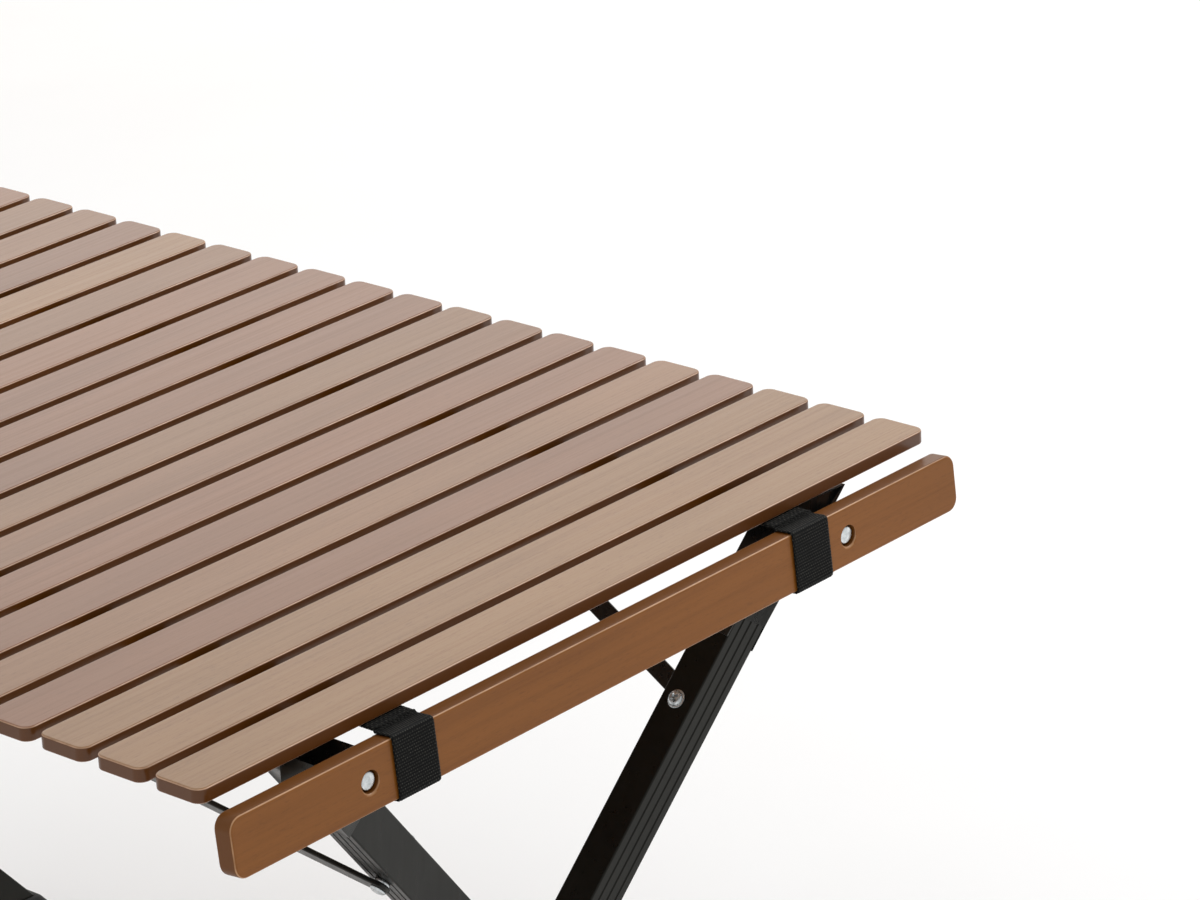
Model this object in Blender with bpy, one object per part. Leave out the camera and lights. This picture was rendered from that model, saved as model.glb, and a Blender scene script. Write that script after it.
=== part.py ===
# Roll-top camping table: a slatted wooden top on two webbing straps, carried by
# two end rails that hang on a folding frame of four crossed aluminium legs.
#
# Frame: +X along the slats, +Y along the table's length (near end at -Y), +Z up.
# Origin: centre of the footprint on the floor. Lengths in metres.

import math

import bmesh
import bpy
import numpy as np
from mathutils import Matrix, Vector

# ---------------------------------------------------------------- dimensions
TABLE_HEIGHT = 0.505
SLAT_COUNT = 20
SLAT_LENGTH = 0.600
SLAT_WIDTH = 0.0353
SLAT_PITCH = 0.0426
SLAT_THICK = 0.0085
SLAT_CORNER = 0.0065
SLAT_EDGE = 0.0011

STRAP_WIDTH = 0.032
STRAP_THICK = 0.0016
STRAP_X = 0.165
GAP = 0.0003

RAIL_LENGTH = 0.600
RAIL_HEIGHT = 0.0345
RAIL_THICK = 0.0122
RAIL_TILT = math.radians(5.0)
RAIL_CORNER = 0.008
RAIL_FACE_Y = 0.4422
RAIL_TOP_Z = TABLE_HEIGHT - SLAT_THICK - STRAP_THICK - 2 * GAP

BOLT_X = 0.199
BOLT_Z = 0.4768
BOLT_CAP_R = 0.0052
BOLT_CAP_LENGTH = 0.0052
BOLT_CAP_RECESS = 0.0016
BOLT_SHANK_R = 0.0030
BOLT_HOLE_R = 0.0063
BOLT_THROUGH_R = 0.0034
BOLT_COUNTERBORE = 0.0074
BOLT_REACH_LEFT = 0.0226
BOLT_REACH_RIGHT = 0.0226

LEG_WIDTH = 0.0265
LEG_DEPTH = 0.0234
LEG_WALL = 0.0017
LEG_TOP_Z = 0.4912
LEG_BOTTOM_Z = 0.0045
LEG_TAN = 0.830
LEG_LINE_X = 0.1955
LEG_LINE_Z = 0.4800
INNER_LEG_Y = 0.3795
INNER_LEG_LEAN = 0.1638
OUTER_LEG_Y = 0.4017
OUTER_LEG_LEAN = 0.1423
GROOVE_WIDTH = 0.0016
GROOVE_DEPTH = 0.0007

CROSS_PIN_R = 0.0040
CROSS_HOLE_R = 0.0044

INNER_LINK_PIN_S = 0.146
OUTER_LINK_PIN_S = 0.1235
LINK_PIN_R = 0.0027
LINK_HOLE_R = 0.0031
LINK_STANDOFF = 0.0024
LINK_THICK = 0.0030
LINK_WIDTH = 0.0120
LINK_RISE = math.radians(23.0)
INNER_HUB_PINS = 0.0300

FOOT_HEIGHT = 0.030
FOOT_WALL = 0.0026

CROSS_Z = LEG_LINE_Z - LEG_LINE_X / LEG_TAN
SLOPE = math.atan(LEG_TAN)


# ---------------------------------------------------------------- scene setup
for old in list(bpy.data.objects):
    bpy.data.objects.remove(old, do_unlink=True)
scene = bpy.context.scene
scene.unit_settings.system = "METRIC"
scene.unit_settings.scale_length = 1.0


def material(name, colour, roughness, metallic=0.0):
    mat = bpy.data.materials.new(name)
    mat.use_nodes = True
    shader = mat.node_tree.nodes["Principled BSDF"]
    shader.inputs["Base Color"].default_value = (*colour, 1.0)
    shader.inputs["Roughness"].default_value = roughness
    shader.inputs["Metallic"].default_value = metallic
    return mat


WOOD_TOP = (0.36, 0.19, 0.11)
WOOD_RAIL = (0.27, 0.125, 0.045)
ANODISED = (0.03, 0.03, 0.028)
WEBBING = (0.018, 0.018, 0.016)
ZINC = (0.62, 0.64, 0.64)
RUBBER = (0.02, 0.02, 0.02)
STEEL_BLACK = (0.035, 0.035, 0.033)


# ---------------------------------------------------------------- mesh helpers
def link(obj, colour, roughness, metallic=0.0, smooth=None):
    obj.data.materials.append(material(obj.name + "_finish", colour, roughness, metallic))
    scene.collection.objects.link(obj)
    if smooth is not None:
        obj.data.shade_smooth()
        obj.data.set_sharp_from_angle(angle=math.radians(smooth))
    return obj


def mesh_object(name, verts, faces):
    mesh = bpy.data.meshes.new(name)
    mesh.from_pydata([tuple(v) for v in verts], [], [list(f) for f in faces])
    bm = bmesh.new()
    bm.from_mesh(mesh)
    bmesh.ops.recalc_face_normals(bm, faces=bm.faces)
    bm.to_mesh(mesh)
    bm.free()
    mesh.update()
    return bpy.data.objects.new(name, mesh)


def move_origin(obj, point):
    """Puts the object's origin on its joint axis and keeps the shape where it is."""
    obj.data.transform(Matrix.Translation(-Vector(point)))
    obj.location = Vector(point)
    return obj


def loft(name, rings):
    """Closes a stack of rings of equal length with a cap at each end."""
    count = len(rings[0])
    verts = [p for ring in rings for p in ring]
    faces = []
    for r in range(len(rings) - 1):
        a, b = r * count, (r + 1) * count
        for i in range(count):
            j = (i + 1) % count
            faces.append((a + i, a + j, b + j, b + i))
    faces.append(tuple(range(count))[::-1])
    faces.append(tuple((len(rings) - 1) * count + i for i in range(count)))
    return mesh_object(name, verts, faces)


def rounded_outline(length, width, radius, steps):
    """Counter-clockwise rounded rectangle centred on the origin."""
    points = []
    for cx, cy, start in (
        (length / 2 - radius, width / 2 - radius, 0.0),
        (-length / 2 + radius, width / 2 - radius, 90.0),
        (-length / 2 + radius, -width / 2 + radius, 180.0),
        (length / 2 - radius, -width / 2 + radius, 270.0),
    ):
        for k in range(steps + 1):
            a = math.radians(start + 90.0 * k / steps)
            points.append((cx + radius * math.cos(a), cy + radius * math.sin(a)))
    return points


def board(name, length, width, thick, radius, edge, steps, place):
    """A board with rounded plan corners and eased edges. place maps (x, y, z) to the table."""
    inner = rounded_outline(length - 2 * edge, width - 2 * edge, radius - edge, steps)
    outer = rounded_outline(length, width, radius, steps)
    rings = []
    for outline, z in ((inner, -thick / 2), (outer, -thick / 2 + edge), (outer, thick / 2 - edge), (inner, thick / 2)):
        rings.append([place(x, y, z) for x, y in outline])
    return loft(name, rings)


def turned(name, profile, centre, axis, sides):
    """Turns (along, radius) pairs about an axis. The first and last radius are 0 or closed by a cap."""
    axis = Vector(axis).normalized()
    side = axis.orthogonal().normalized()
    other = axis.cross(side)
    centre = Vector(centre)
    rings = []
    for along, radius in profile:
        ring = []
        for k in range(sides):
            a = 2 * math.pi * k / sides
            ring.append(centre + axis * along + (side * math.cos(a) + other * math.sin(a)) * radius)
        rings.append(ring)
    return loft(name, rings)


def oriented_box(name, centre, axes, sizes):
    """A box with its sides along three unit vectors."""
    centre = Vector(centre)
    u, v, w = (Vector(a) * s / 2 for a, s in zip(axes, sizes))
    low = [centre - u - v - w, centre + u - v - w, centre + u + v - w, centre - u + v - w]
    high = [p + 2 * w for p in low]
    return loft(name, [low, high])


def prism(name, outline, centre, axes, length):
    """An outline in the plane of the first two axes, centred on the plane and drawn out along the third."""
    centre = Vector(centre)
    u, v, w = (Vector(a) for a in axes)
    rings = []
    for side in (-length / 2, length / 2):
        rings.append([centre + u * x + v * y + w * side for x, y in outline])
    return loft(name, rings)


def boolean(target, cutter, operation):
    """Applies a Boolean with the exact solver and removes the second object."""
    if cutter.name not in scene.collection.objects:
        scene.collection.objects.link(cutter)
    if target.name not in scene.collection.objects:
        scene.collection.objects.link(target)
    cutter.hide_render = True
    cutter.display_type = "WIRE"
    modifier = target.modifiers.new("shape", "BOOLEAN")
    modifier.operation = operation
    modifier.solver = "EXACT"
    modifier.object = cutter
    bpy.context.view_layer.update()
    evaluated = target.evaluated_get(bpy.context.evaluated_depsgraph_get())
    mesh = bpy.data.meshes.new_from_object(evaluated)
    target.modifiers.clear()
    old = target.data
    target.data = mesh
    bpy.data.meshes.remove(old)
    bpy.data.objects.remove(cutter, do_unlink=True)
    scene.collection.objects.unlink(target)
    return target


def cut(target, cutter):
    return boolean(target, cutter, "DIFFERENCE")


def join(target, other):
    return boolean(target, other, "UNION")


def keep_common(target, other):
    return boolean(target, other, "INTERSECT")


# ---------------------------------------------------------------- slats
def slat_y(number):
    return (number - (SLAT_COUNT + 1) / 2) * SLAT_PITCH


for number in range(1, SLAT_COUNT + 1):
    y0 = slat_y(number)
    z0 = TABLE_HEIGHT - SLAT_THICK / 2
    slat = board(
        f"slat_{number:02d}", SLAT_LENGTH, SLAT_WIDTH, SLAT_THICK, SLAT_CORNER, SLAT_EDGE, 4,
        lambda x, y, z, y0=y0, z0=z0: (x, y0 + y, z0 + z),
    )
    move_origin(slat, (0.0, y0 - SLAT_PITCH / 2, TABLE_HEIGHT - SLAT_THICK - GAP - STRAP_THICK / 2))
    link(slat, WOOD_TOP, 0.38)


# ---------------------------------------------------------------- end rails
# end = -1 is the near rail, +1 the far rail. The board stands on edge and its
# foot leans outwards. u runs up the board and w out through its outer face.
def rail_frame(end):
    up = Vector((0.0, -end * math.sin(RAIL_TILT), math.cos(RAIL_TILT)))
    out = Vector((0.0, end * math.cos(RAIL_TILT), math.sin(RAIL_TILT)))
    top_outer = Vector((0.0, end * RAIL_FACE_Y, RAIL_TOP_Z - RAIL_THICK * math.sin(RAIL_TILT) * 0.0))
    centre = top_outer - up * RAIL_HEIGHT / 2 - out * RAIL_THICK / 2
    return centre, up, out


def on_rail(end, x, up_by, out_by):
    centre, up, out = rail_frame(end)
    return centre + Vector((x, 0, 0)) + up * up_by + out * out_by


def bolt_height_on_rail(end):
    """How far above the board's centre line the bolt axis meets it."""
    centre, up, out = rail_frame(end)
    return (BOLT_Z - centre.z) / up.z


def end_name(end):
    return "near" if end < 0 else "far"


for end in (-1, 1):
    centre, up, out = rail_frame(end)
    rail = board(
        f"{end_name(end)}_rail", RAIL_LENGTH, RAIL_HEIGHT, RAIL_THICK, RAIL_CORNER, 0.0013, 4,
        lambda x, y, z, c=centre, u=up, o=out: c + Vector((x, 0, 0)) + u * y + o * z,
    )
    for side in (-1, 1):
        axis_point = Vector((side * BOLT_X, 0.0, BOLT_Z))
        along = Vector((0.0, float(end), 0.0))
        face_y = on_rail(end, 0.0, bolt_height_on_rail(end), RAIL_THICK / 2).y
        mouth = Vector((side * BOLT_X, face_y, BOLT_Z))
        rail = cut(rail, turned("through", [(-0.03, BOLT_THROUGH_R), (0.02, BOLT_THROUGH_R)], mouth, along, 20))
        rail = cut(
            rail,
            turned(
                "counterbore",
                [(-BOLT_COUNTERBORE, BOLT_HOLE_R), (-0.0008, BOLT_HOLE_R), (0.0014, BOLT_HOLE_R + 0.0022)],
                mouth, along, 24,
            ),
        )
        bolt_reach = BOLT_REACH_LEFT if side < 0 else BOLT_REACH_RIGHT
        bolt = turned(
            f"{end_name(end)}_rail_bolt_{'left' if side < 0 else 'right'}",
            [
                (-bolt_reach, BOLT_SHANK_R - 0.0005),
                (-bolt_reach + 0.0005, BOLT_SHANK_R),
                (-BOLT_CAP_RECESS - BOLT_CAP_LENGTH, BOLT_SHANK_R),
                (-BOLT_CAP_RECESS - BOLT_CAP_LENGTH, BOLT_CAP_R),
                (-BOLT_CAP_RECESS - 0.0006, BOLT_CAP_R),
                (-BOLT_CAP_RECESS, BOLT_CAP_R - 0.0008),
            ],
            mouth, along, 20,
        )
        link(bolt, ZINC, 0.3, 1.0, 35)
    link(rail, WOOD_RAIL, 0.42)
    hinge_y = end * (abs(slat_y(1)) + SLAT_PITCH / 2)
    move_origin(rail, (0.0, hinge_y, TABLE_HEIGHT - SLAT_THICK - GAP - STRAP_THICK / 2))


# ---------------------------------------------------------------- webbing
# One long strip under the slats on each side, and a loop of the same webbing
# round each rail.
STRIP_END = abs(slat_y(1)) + SLAT_PITCH / 2 - 0.0004
for side in (-1, 1):
    name = "strap_left" if side < 0 else "strap_right"
    z1 = TABLE_HEIGHT - SLAT_THICK - GAP
    strip = oriented_box(
        name, (side * STRAP_X, 0.0, z1 - STRAP_THICK / 2),
        (Vector((1, 0, 0)), Vector((0, 1, 0)), Vector((0, 0, 1))),
        (STRAP_WIDTH, 2 * STRIP_END, STRAP_THICK),
    )
    link(strip, WEBBING, 0.85)

for end in (-1, 1):
    centre, up, out = rail_frame(end)
    for side in (-1, 1):
        reach_u = RAIL_HEIGHT / 2 + GAP
        reach_w = RAIL_THICK / 2 + GAP
        inner = rounded_outline(2 * reach_w, 2 * reach_u, 0.0014, 3)
        outer = rounded_outline(2 * (reach_w + STRAP_THICK), 2 * (reach_u + STRAP_THICK), 0.0030, 3)
        axes = (out, up, Vector((1, 0, 0)))
        at = centre + Vector((side * STRAP_X, 0, 0))
        name = f"{end_name(end)}_strap_loop_{'left' if side < 0 else 'right'}"
        loop = prism(name, outer, at, axes, STRAP_WIDTH)
        # The tongue runs level from the loop's top to the strip under the first slat.
        z1 = TABLE_HEIGHT - SLAT_THICK - GAP
        tongue_from = end * (STRIP_END + 0.0004)
        tongue_to = end * (RAIL_FACE_Y - 0.004)
        tongue = oriented_box(
            "tongue", (side * STRAP_X, (tongue_from + tongue_to) / 2, z1 - STRAP_THICK / 2),
            (Vector((1, 0, 0)), Vector((0, 1, 0)), Vector((0, 0, 1))),
            (STRAP_WIDTH, abs(tongue_to - tongue_from), STRAP_THICK),
        )
        loop = join(loop, tongue)
        loop = cut(loop, prism("opening", inner, at, axes, STRAP_WIDTH + 0.01))
        link(loop, WEBBING, 0.85)


# ---------------------------------------------------------------- legs
# side = -1: top at the left, foot at the right. It is the inner leg of its end.
# side = +1: top at the right, foot at the left. It is the outer leg of its end.
# A leg's frame: down its axis, through its side face, and out through the face
# that looks away from the table's middle.
class Leg:
    def __init__(self, side, end):
        self.side, self.end = side, end
        inner = side < 0
        self.link_pin_s = INNER_LINK_PIN_S if inner else OUTER_LINK_PIN_S
        lean = INNER_LEG_LEAN if inner else OUTER_LEG_LEAN
        y0 = INNER_LEG_Y if inner else OUTER_LEG_Y
        self.base = Vector((side * LEG_LINE_X, end * y0, LEG_LINE_Z))
        self.down = Vector((-side * LEG_TAN, -end * lean, -1.0)).normalized()
        # The side face that looks outwards and down carries the link.
        self.face = Vector((side * math.cos(SLOPE), 0.0, -math.sin(SLOPE)))
        self.out = self.face.cross(self.down).normalized()
        if self.out.y * end < 0:
            self.out.negate()

    def at(self, s, face=0.0, out=0.0):
        return self.base + self.down * s + self.face * face + self.out * out

    def at_height(self, z, face=0.0, out=0.0):
        p = self.at(0.0, face, out)
        return p + self.down * ((p.z - z) / -self.down.z)

    def name(self, what):
        return f"{end_name(self.end)}_{'left' if self.side < 0 else 'right'}_{what}"


def grooved_outline(width, depth, grooved):
    """Section of the tube: three grooves run down both faces named by grooved."""
    bead = 0.0012
    half_w, half_d = width / 2, depth / 2

    def groove_run(half, level, forward):
        # Points along one face from -half to +half, at height level, with three grooves.
        points = []
        for centre in (-half * 0.52, 0.0, half * 0.52):
            for t, h in (
                (centre - GROOVE_WIDTH / 2, 0.0), (centre - GROOVE_WIDTH / 4, -GROOVE_DEPTH),
                (centre + GROOVE_WIDTH / 4, -GROOVE_DEPTH), (centre + GROOVE_WIDTH / 2, 0.0),
            ):
                points.append((t, level + h))
        return points if forward else [(-t, h) for t, h in points]

    top = [(-half_w + bead, half_d), (half_w - bead, half_d)]
    right = [(half_w, half_d - bead), (half_w, -half_d + bead)]
    bottom = [(half_w - bead, -half_d), (-half_w + bead, -half_d)]
    left = [(-half_w, -half_d + bead), (-half_w, half_d - bead)]
    if grooved == "out":
        run = groove_run(half_w, half_d, True)
        top = [top[0], *run, top[1]]
        bottom = [bottom[0], *[(-x, -y) for x, y in run], bottom[1]]
    else:
        run = groove_run(half_d, half_w, True)
        right = [right[0], *[(y, -x) for x, y in run], right[1]]
        left = [left[0], *[(-y, x) for x, y in run], left[1]]
    return top + right + bottom + left


def slanted_prism(name, outline, leg, z_top, z_bottom):
    """A section drawn along the leg between two level planes."""
    rings = []
    for z in (z_top, z_bottom):
        rings.append([leg.at_height(z, x, y) for x, y in outline])
    return loft(name, rings)


LEGS = {}
for end in (-1, 1):
    for side in (-1, 1):
        leg = Leg(side, end)
        LEGS[(side, end)] = leg
        outline = grooved_outline(LEG_WIDTH, LEG_DEPTH, "side" if side < 0 else "out")
        tube = slanted_prism(leg.name("leg"), outline, leg, LEG_TOP_Z, LEG_BOTTOM_Z)
        w, d = LEG_WIDTH / 2 - LEG_WALL, LEG_DEPTH / 2 - LEG_WALL
        bore = slanted_prism("bore", [(-w, -d), (w, -d), (w, d), (-w, d)], leg, LEG_TOP_Z + 0.02, -0.02)
        tube = cut(tube, bore)
        cross = Vector((0.0, 0.0, CROSS_Z))
        tube = cut(tube, turned("cross_hole", [(-0.5, CROSS_HOLE_R), (0.5, CROSS_HOLE_R)], cross, (0, 1, 0), 20))
        tube = cut(
            tube,
            turned("link_hole", [(-0.04, LINK_HOLE_R), (0.04, LINK_HOLE_R)], leg.at(leg.link_pin_s), leg.face, 16),
        )
        link(tube, ANODISED, 0.4, 0.6)
        move_origin(tube, (0.0, leg.at_height(CROSS_Z).y, CROSS_Z))

        # Rubber foot: a sleeve over the tube's end, level underneath.
        grow = FOOT_WALL + GAP
        ow, od = LEG_WIDTH / 2 + grow, LEG_DEPTH / 2 + grow
        foot = slanted_prism(
            leg.name("foot"), rounded_outline(2 * ow, 2 * od, 0.003, 3), leg, FOOT_HEIGHT, 0.0,
        )
        pw, pd = LEG_WIDTH / 2 + GAP, LEG_DEPTH / 2 + GAP
        pocket = slanted_prism(
            "pocket", [(-pw, -pd), (pw, -pd), (pw, pd), (-pw, pd)], leg, FOOT_HEIGHT + 0.01, LEG_BOTTOM_Z - GAP,
        )
        foot = cut(foot, pocket)
        link(foot, RUBBER, 0.8)


# Pin through both legs of an end where they cross, head outside, nut inside.
for end in (-1, 1):
    outer_leg, inner_leg = LEGS[(1, end)], LEGS[(-1, end)]
    outer_face = abs(outer_leg.at_height(CROSS_Z).y) + LEG_DEPTH / 2 / abs(outer_leg.out.y) + 0.0028
    inner_face = abs(inner_leg.at_height(CROSS_Z).y) - LEG_DEPTH / 2 / abs(inner_leg.out.y) - 0.0028
    pin = turned(
        f"{end_name(end)}_cross_pin",
        [
            (inner_face - 0.0045, CROSS_PIN_R + 0.0016),
            (inner_face - 0.0040, CROSS_PIN_R + 0.0026),
            (inner_face, CROSS_PIN_R + 0.0026),
            (inner_face, CROSS_PIN_R),
            (outer_face, CROSS_PIN_R),
            (outer_face, CROSS_PIN_R + 0.0034),
            (outer_face + 0.0016, CROSS_PIN_R + 0.0034),
            (outer_face + 0.0030, CROSS_PIN_R + 0.0010),
        ],
        (0.0, 0.0, CROSS_Z), (0.0, float(end), 0.0), 20,
    )
    link(pin, ZINC, 0.3, 1.0, 35)
    move_origin(pin, (0.0, end * (outer_face + inner_face) / 2, CROSS_Z))


# Head bracket of each leg: cheeks down both side faces, a level cap and a lug
# with a V seat that the rail's bolt shank drops into.
LUG_END = RAIL_FACE_Y - RAIL_THICK - 0.0028 - 0.0002
for (side, end), leg in LEGS.items():
    cheek = 0.0013
    plate = 0.0030
    hw = LEG_WIDTH / 2 + GAP
    hd = LEG_DEPTH / 2 + GAP
    low_s = 0.0785
    shell = slanted_prism(
        leg.name("head_bracket"),
        [(-hw - cheek, -0.0096), (hw + cheek, -0.0096), (hw + cheek, hd + plate), (-hw - cheek, hd + plate)],
        leg, LEG_TOP_Z + 0.0029, 0.404,
    )
    # The front plate stops at the rail's foot, and only the cheeks reach further down.
    front_stop = oriented_box(
        "front_stop", leg.at(0.052, 0.0, hd + 0.006),
        (leg.down, leg.face, leg.out), (0.060, 0.06, 0.012),
    )
    shell = cut(shell, front_stop)
    # Square off the lower end of the cheeks across the leg.
    shell = cut(
        shell,
        oriented_box("end_trim", leg.at(low_s + 0.03), (leg.down, leg.face, leg.out), (0.060, 0.06, 0.06)),
    )
    lug_root = abs((leg.at_height(BOLT_Z, 0.0, hd + plate * 0.5)).y)
    lug_mid = (lug_root + LUG_END) / 2
    lug = oriented_box(
        "lug", (side * BOLT_X, end * lug_mid, BOLT_Z - 0.0035),
        (Vector((1, 0, 0)), Vector((0, 1, 0)), Vector((0, 0, 1))),
        (0.030, LUG_END - lug_root, 0.0240),
    )
    shell = join(shell, lug)
    shell = cut(
        shell,
        slanted_prism("hollow", [(-hw, -0.02), (hw, -0.02), (hw, hd), (-hw, hd)], leg, LEG_TOP_Z + GAP, 0.38),
    )
    # V seat, open upwards.
    reach = 0.0170
    low = (BOLT_SHANK_R + GAP) / math.sin(math.radians(50.0))
    half = (reach + low) * math.tan(math.radians(50.0))
    seat_from = abs(leg.at_height(BOLT_Z, 0.0, hd + plate).y) + 0.0006
    seat_to = LUG_END + 0.003
    seat = prism(
        "seat", [(0.0, -low), (half, reach), (-half, reach)],
        (side * BOLT_X, end * (seat_from + seat_to) / 2, BOLT_Z),
        (Vector((1, 0, 0)), Vector((0, 0, 1)), Vector((0, 1, 0))),
        seat_to - seat_from,
    )
    shell = cut(shell, seat)
    link(shell, STEEL_BLACK, 0.45, 0.4)


# ---------------------------------------------------------------- side links
# On each side a near and a far link rise from the legs to a hub at mid-length.
def link_offset():
    return LEG_WIDTH / 2 + LINK_STANDOFF + LINK_THICK / 2


inner_pin = LEGS[(-1, -1)].at(INNER_LINK_PIN_S)
outer_pin = LEGS[(1, -1)].at(OUTER_LINK_PIN_S)
INNER_RUN = abs(inner_pin.y) - INNER_HUB_PINS / 2
LINK_LENGTH = INNER_RUN / math.cos(LINK_RISE)
OUTER_HUB_PINS = INNER_HUB_PINS + 2 * (abs(outer_pin.y) - abs(inner_pin.y))


def slot_outline(length, width, steps):
    """A bar with round ends, its two eyes at the ends' centres."""
    points = []
    for k in range(steps + 1):
        a = -math.pi / 2 + math.pi * k / steps
        points.append((length / 2 + width / 2 * math.cos(a), width / 2 * math.sin(a)))
    for k in range(steps + 1):
        a = math.pi / 2 + math.pi * k / steps
        points.append((-length / 2 + width / 2 * math.cos(a), width / 2 * math.sin(a)))
    return points


for side in (-1, 1):
    hub_span = INNER_HUB_PINS if side < 0 else OUTER_HUB_PINS
    any_leg = LEGS[(side, -1)]
    face = any_leg.face
    # Unit vector up the ladder plane, square to the pins and to the length axis.
    climb = Vector((side * math.sin(SLOPE), 0.0, math.cos(SLOPE)))
    hub_pins = {}
    for end in (-1, 1):
        leg = LEGS[(side, end)]
        foot_pin = leg.at(leg.link_pin_s) + face * link_offset()
        along = Vector((0.0, -end * math.cos(LINK_RISE), 0.0)) + climb * math.sin(LINK_RISE)
        across = face.cross(along).normalized()
        top_pin = foot_pin + along * LINK_LENGTH
        hub_pins[end] = top_pin
        bar = prism(
            leg.name("link"), slot_outline(LINK_LENGTH, LINK_WIDTH, 8), (foot_pin + top_pin) / 2,
            (along, across, face), LINK_THICK,
        )
        for eye in (foot_pin, top_pin):
            bar = cut(bar, turned("eye", [(-0.01, LINK_HOLE_R), (0.01, LINK_HOLE_R)], eye, face, 16))
        link(bar, STEEL_BLACK, 0.4, 0.5)
        move_origin(bar, foot_pin)

        # Shoulder screw: pan head on the far face, shoulder and rivet head on the link's side.
        near_face = LEG_WIDTH / 2
        screw = turned(
            leg.name("link_screw"),
            [
                (-near_face - 0.0030, 0.0022),
                (-near_face - 0.0026, 0.0036),
                (-near_face - 0.0014, 0.0047),
                (-near_face - 0.0011, 0.0047),
                (-near_face - 0.0011, 0.0056),
                (-near_face - GAP, 0.0056),
                (-near_face - GAP, LINK_PIN_R),
                (near_face + GAP, LINK_PIN_R),
                (near_face + GAP, 0.0050),
                (near_face + LINK_STANDOFF - GAP, 0.0050),
                (near_face + LINK_STANDOFF - GAP, LINK_PIN_R),
                (near_face + LINK_STANDOFF + LINK_THICK + GAP, LINK_PIN_R),
                (near_face + LINK_STANDOFF + LINK_THICK + GAP, 0.0048),
                (near_face + LINK_STANDOFF + LINK_THICK + GAP + 0.0010, 0.0046),
                (near_face + LINK_STANDOFF + LINK_THICK + GAP + 0.0020, 0.0030),
            ],
            leg.at(leg.link_pin_s), leg.face, 18,
        )
        link(screw, ZINC, 0.3, 1.0, 35)

    # Hub: a flat plate behind the two bars with a pin and head through each eye.
    middle = (hub_pins[-1] + hub_pins[1]) / 2
    plate_centre = middle - face * (LINK_THICK + GAP)
    hub = prism(
        f"{'left' if side < 0 else 'right'}_link_hub",
        slot_outline(hub_span, 0.0150, 8), plate_centre,
        (Vector((0, 1, 0)), climb, face), LINK_THICK,
    )
    for end in (-1, 1):
        stem = turned(
            "stem",
            [
                (-LINK_THICK / 2 - GAP - 0.0015, LINK_PIN_R),
                (LINK_THICK / 2 + GAP, LINK_PIN_R),
                (LINK_THICK / 2 + GAP, 0.0048),
                (LINK_THICK / 2 + GAP + 0.0010, 0.0046),
                (LINK_THICK / 2 + GAP + 0.0020, 0.0030),
            ],
            hub_pins[end], face, 16,
        )
        hub = join(hub, stem)
    link(hub, STEEL_BLACK, 0.4, 0.5)
    move_origin(hub, middle)
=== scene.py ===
# The looks of the roll-top camping table: stained beech slats and rails, ribbed
# black webbing, black anodised legs and links, bright zinc hardware.
# Metres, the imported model's frame: +X along the slats, +Y along the table, +Z up.

import math

import bmesh
import bpy
import numpy as np
from mathutils import Matrix, Vector
from mathutils.kdtree import KDTree


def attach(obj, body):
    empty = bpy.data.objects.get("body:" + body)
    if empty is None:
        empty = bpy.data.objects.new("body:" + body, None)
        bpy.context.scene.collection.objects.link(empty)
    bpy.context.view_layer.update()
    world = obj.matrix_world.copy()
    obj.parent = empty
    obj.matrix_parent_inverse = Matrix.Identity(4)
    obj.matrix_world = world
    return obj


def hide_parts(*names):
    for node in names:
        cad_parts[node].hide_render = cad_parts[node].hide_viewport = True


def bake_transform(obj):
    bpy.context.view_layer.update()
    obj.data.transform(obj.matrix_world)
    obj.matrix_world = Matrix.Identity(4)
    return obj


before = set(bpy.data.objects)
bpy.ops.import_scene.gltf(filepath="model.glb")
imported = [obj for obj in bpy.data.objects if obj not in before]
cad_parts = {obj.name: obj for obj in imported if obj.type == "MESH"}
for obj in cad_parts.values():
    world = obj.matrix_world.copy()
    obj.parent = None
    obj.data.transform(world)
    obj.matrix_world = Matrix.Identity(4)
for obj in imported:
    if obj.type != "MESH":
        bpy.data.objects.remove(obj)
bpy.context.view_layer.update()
scene = bpy.context.scene

# ------------------------------------------------------------- CAD dimensions
TABLE_HEIGHT = 0.505
SLAT_COUNT = 20
SLAT_LENGTH = 0.600
SLAT_WIDTH = 0.0353
SLAT_PITCH = 0.0426
SLAT_THICK = 0.0085
STRAP_WIDTH = 0.032
STRAP_THICK = 0.0016
STRAP_X = 0.165
GAP = 0.0003
RAIL_LENGTH = 0.600
RAIL_HEIGHT = 0.0345
RAIL_THICK = 0.0122
RAIL_TILT = math.radians(5.0)
RAIL_FACE_Y = 0.4422
RAIL_TOP_Z = TABLE_HEIGHT - SLAT_THICK - STRAP_THICK - 2 * GAP
BOLT_X = 0.199
BOLT_Z = 0.4768
LEG_WIDTH = 0.0265
LEG_DEPTH = 0.0234
LEG_WALL = 0.0017
LEG_TOP_Z = 0.4912
LEG_BOTTOM_Z = 0.0045
LEG_TAN = 0.830
LEG_LINE_X = 0.1955
LEG_LINE_Z = 0.4800
INNER_LEG_Y = 0.3795
INNER_LEG_LEAN = 0.1638
OUTER_LEG_Y = 0.4017
OUTER_LEG_LEAN = 0.1423
CROSS_Z = LEG_LINE_Z - LEG_LINE_X / LEG_TAN
SLOPE = math.atan(LEG_TAN)
INNER_LINK_PIN_S = 0.146
OUTER_LINK_PIN_S = 0.1235
LINK_STANDOFF = 0.0024
LINK_THICK = 0.0030
LINK_WIDTH = 0.0120
LINK_RISE = math.radians(23.0)
INNER_HUB_PINS = 0.0300
HINGE_Z = TABLE_HEIGHT - SLAT_THICK - GAP - STRAP_THICK / 2


def slat_y(number):
    return (number - (SLAT_COUNT + 1) / 2) * SLAT_PITCH


def end_name(end):
    return "near" if end < 0 else "far"


def side_name(side):
    return "left" if side < 0 else "right"


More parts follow.
